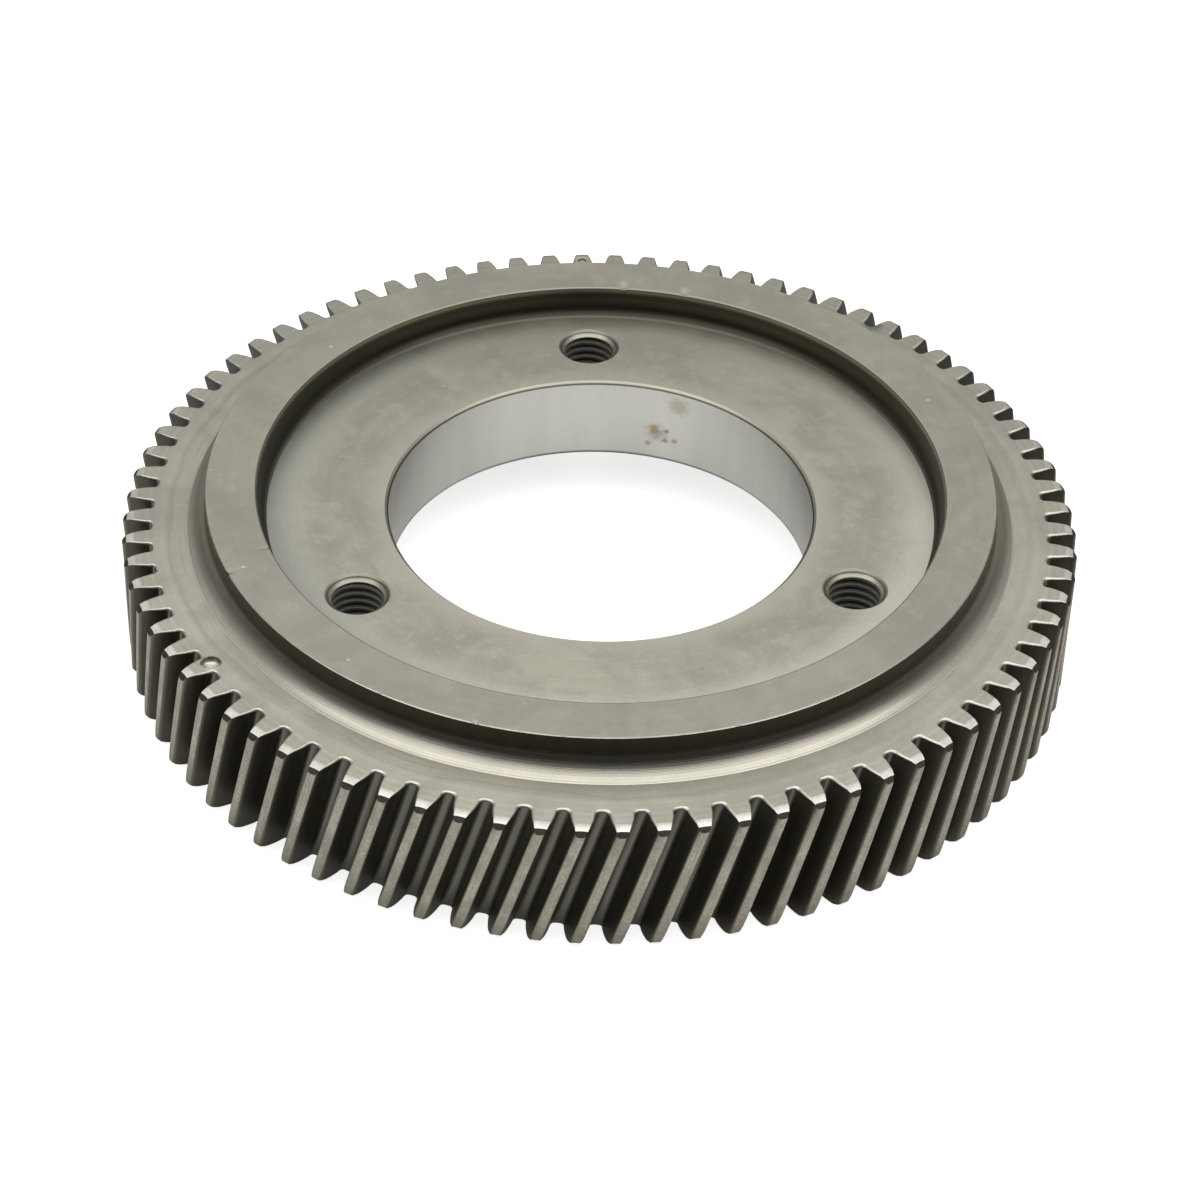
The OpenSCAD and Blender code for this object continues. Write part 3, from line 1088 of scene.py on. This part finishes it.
def bore_edge():
    """Chamfers of the bore: a pale outer edge and a dark inner one."""
    finish = Finish("bore_edge", (0.15, 0.138, 0.1), 0.42)
    finish.grain(0.35, shade=0.15, height=0.004)
    finish.fade(finish.along("Z"), PLATE_TOP - 0.42, PLATE_TOP - 0.26, (0.6, 0.58, 0.49))
    return finish.done()


def bore_wall():
    """Bore, ground bright, with a few specks of rust, faint upright water marks and a painted shadow at its
    foot.
    """
    finish = Finish("bore_wall", (0.86, 0.855, 0.79), 0.31)
    grain = finish.effect("metal_grain", Size=0.5)
    upright = stretched(finish.tree, place_in_mm(finish.tree), (1, 1, 0.08))
    marks = ramp(finish.tree, noise(finish.tree, upright, 0.11, 2.0), 0.3, 0.7)
    finish.shade(marks, 0.07)
    finish.shade(grain["Grain"], 0.025)
    for angle, height, size, colour in RUST_SPECKS:
        finish.tint(finish.spot(BORE_R, angle, height, size, ragged=size * 1.1), colour, 0.7)
    # Painted shadow: a dark band at the foot of the bore.
    foot = PLATE_BOTTOM + BORE_CHAMFER
    finish.fade(finish.along("Z"), foot + 0.5, foot, (0.2, 0.2, 0.17), 0.8)
    finish.roughen(marks, 0.03)
    return finish.done()


def under_finish():
    """Underside of the plate and the inside of the rim: turned, with cloudy stains."""
    finish = Finish("under_side", STEEL, 0.43)
    rings = finish.effect("turning_lines", Spacing=0.6, Wander=0.5)
    stains = finish.effect("stain_clouds", Size=15.0)
    finish.shade(rings["Lines"], 0.05)
    finish.tint(stains["Clouds"], STAIN, 0.6)
    finish.raise_by(rings["Lines"], 0.003)
    return finish.done()


def all_finishes():
    """Every finish of the gear, by the name that the faces carry."""
    for effect in (turning_lines, stain_clouds, metal_grain, tooth_streaks, ragged_spot, handling_specks):
        Finish.effects[effect.__name__] = effect()
    return {
        "end_face": end_face(),
        "ring_top": ring_top(),
        "floor": recess_floor(),
        "cove": cove_finish(),
        "ring_inside": ring_inside_finish(),
        "ring_edge": edge_finish("ring_edge", (0.76, 0.74, 0.66), 0.38),
        "edge": edge_finish("broken_edge", BRIGHT_STEEL, 0.36),
        "bevel": end_bevel(),
        "chamfer": tip_chamfer(),
        "land": tooth_land(),
        "flank": tooth_flank(),
        "mark": punch_finish(),
        "thread": thread_finish("thread", (0.11, 0.104, 0.078)),
        "thread_ridge": thread_finish("thread_ridge", (0.14, 0.137, 0.115)),
        "mouth": hole_mouth(),
        "bore": bore_wall(),
        "bore_edge": bore_edge(),
        "under": under_finish(),
    }


def set_camera():
    """Places the camera where the photograph was taken from."""
    data = bpy.data.cameras.new("camera")
    data.sensor_width = 36
    data.lens = CAMERA_LENS
    camera = bpy.data.objects.new("camera", data)
    turn = Matrix.Rotation(math.radians(CAMERA_TURN), 4, "Z")
    tilt = Matrix.Rotation(math.radians(90 - CAMERA_LOOKS_DOWN), 4, "X")
    roll = Matrix.Rotation(math.radians(CAMERA_ROLL), 4, "Z")
    place = turn @ Vector([length * MM for length in CAMERA_PLACE])
    camera.matrix_world = Matrix.Translation(place) @ turn @ tilt @ roll
    bpy.context.scene.collection.objects.link(camera)
    bpy.context.scene.camera = camera


def hang_softbox():
    """Hangs a softbox overhead, a little towards the viewer."""
    data = bpy.data.lights.new("softbox", "AREA")
    data.shape = "RECTANGLE"
    data.size, data.size_y = SOFTBOX_SIZE
    data.energy = SOFTBOX_LEVEL * math.pi * data.size * data.size_y
    softbox = bpy.data.objects.new("softbox", data)
    softbox.location = SOFTBOX_PLACE
    bpy.context.scene.collection.objects.link(softbox)


def light_room():
    """Makes a pale room that is brighter high up and behind the gear, and white to the camera."""
    world = bpy.data.worlds.new("room")
    bpy.context.scene.world = world
    world.use_nodes = True
    tree = world.node_tree
    direction = put(tree, "ShaderNodeTexCoord").outputs["Generated"]
    split = put(tree, "ShaderNodeSeparateXYZ", {0: direction}).outputs
    rise = put(tree, "ShaderNodeValToRGB", {"Fac": split["Z"]})
    for place, _ in ROOM_LEVELS[:-2]:
        rise.color_ramp.elements.new(place)
    for element, (place, level) in zip(rise.color_ramp.elements, ROOM_LEVELS):
        element.position = place
        element.color = (level, level, level, 1)
    behind = ramp(tree, split["Y"], -0.8, 0.7, ROOM_IN_FRONT, 1.0)
    level = math_node(tree, "MULTIPLY", rise.outputs["Color"], behind)
    seen = put(tree, "ShaderNodeLightPath").outputs["Is Camera Ray"]
    level = math_node(tree, "MAXIMUM", level, seen)
    tree.links.new(level, tree.nodes["Background"].inputs["Color"])


def lay_floor():
    """Lays a white floor. Seen straight it is white with the gear's shadow.

    In the steel it fades with distance, and is darker under the back of the gear, where less light gets in.
    """
    mesh = bpy.data.meshes.new("floor")
    reach = FLOOR_REACH
    corners = [(-reach, -reach, 0), (reach, -reach, 0), (reach, reach, 0), (-reach, reach, 0)]
    mesh.from_pydata(corners, [], [(0, 1, 2, 3)])
    floor = bpy.data.objects.new("floor", mesh)
    bpy.context.scene.collection.objects.link(floor)
    material = bpy.data.materials.new("floor")
    material.use_nodes = True
    tree = material.node_tree
    shader = tree.nodes["Principled BSDF"]
    shader.inputs["Roughness"].default_value = 1
    shader.inputs["Specular IOR Level"].default_value = 0
    shader.inputs["Emission Color"].default_value = (1, 1, 1, 1)
    path = put(tree, "ShaderNodeLightPath").outputs
    mirrored = math_node(tree, "MAXIMUM", path["Is Glossy Ray"], path["Is Transmission Ray"])
    place = put(tree, "ShaderNodeTexCoord").outputs["Object"]
    away = put(tree, "ShaderNodeVectorMath", {0: place}, operation="LENGTH").outputs["Value"]
    far = ramp(tree, away, 0.09, 0.2)
    behind = ramp(tree, place_along(tree, place, "Y"), 0.008, 0.04, 0.0, DARK_BEHIND)
    dark = math_node(tree, "MULTIPLY", mirrored, math_node(tree, "MAXIMUM", far, behind))
    colour = math_node(tree, "MULTIPLY_ADD", dark, FLOOR_DARK - FLOOR_WHITE, FLOOR_WHITE)
    tree.links.new(colour, shader.inputs["Base Color"])
    near = math_node(tree, "SUBTRACT", mirrored, dark)
    glow = math_node(tree, "MULTIPLY", near, STEEL_GLOW)
    glow = math_node(tree, "MULTIPLY_ADD", path["Is Camera Ray"], WHITE_GLOW, glow)
    tree.links.new(glow, shader.inputs["Emission Strength"])
    mesh.materials.append(material)


bpy.context.scene.view_settings.view_transform = "Standard"
set_camera()
hang_softbox()
light_room()
lay_floor()
gear = make_piece(cut_gear(), all_finishes())
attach(gear, "root")
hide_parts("gear")
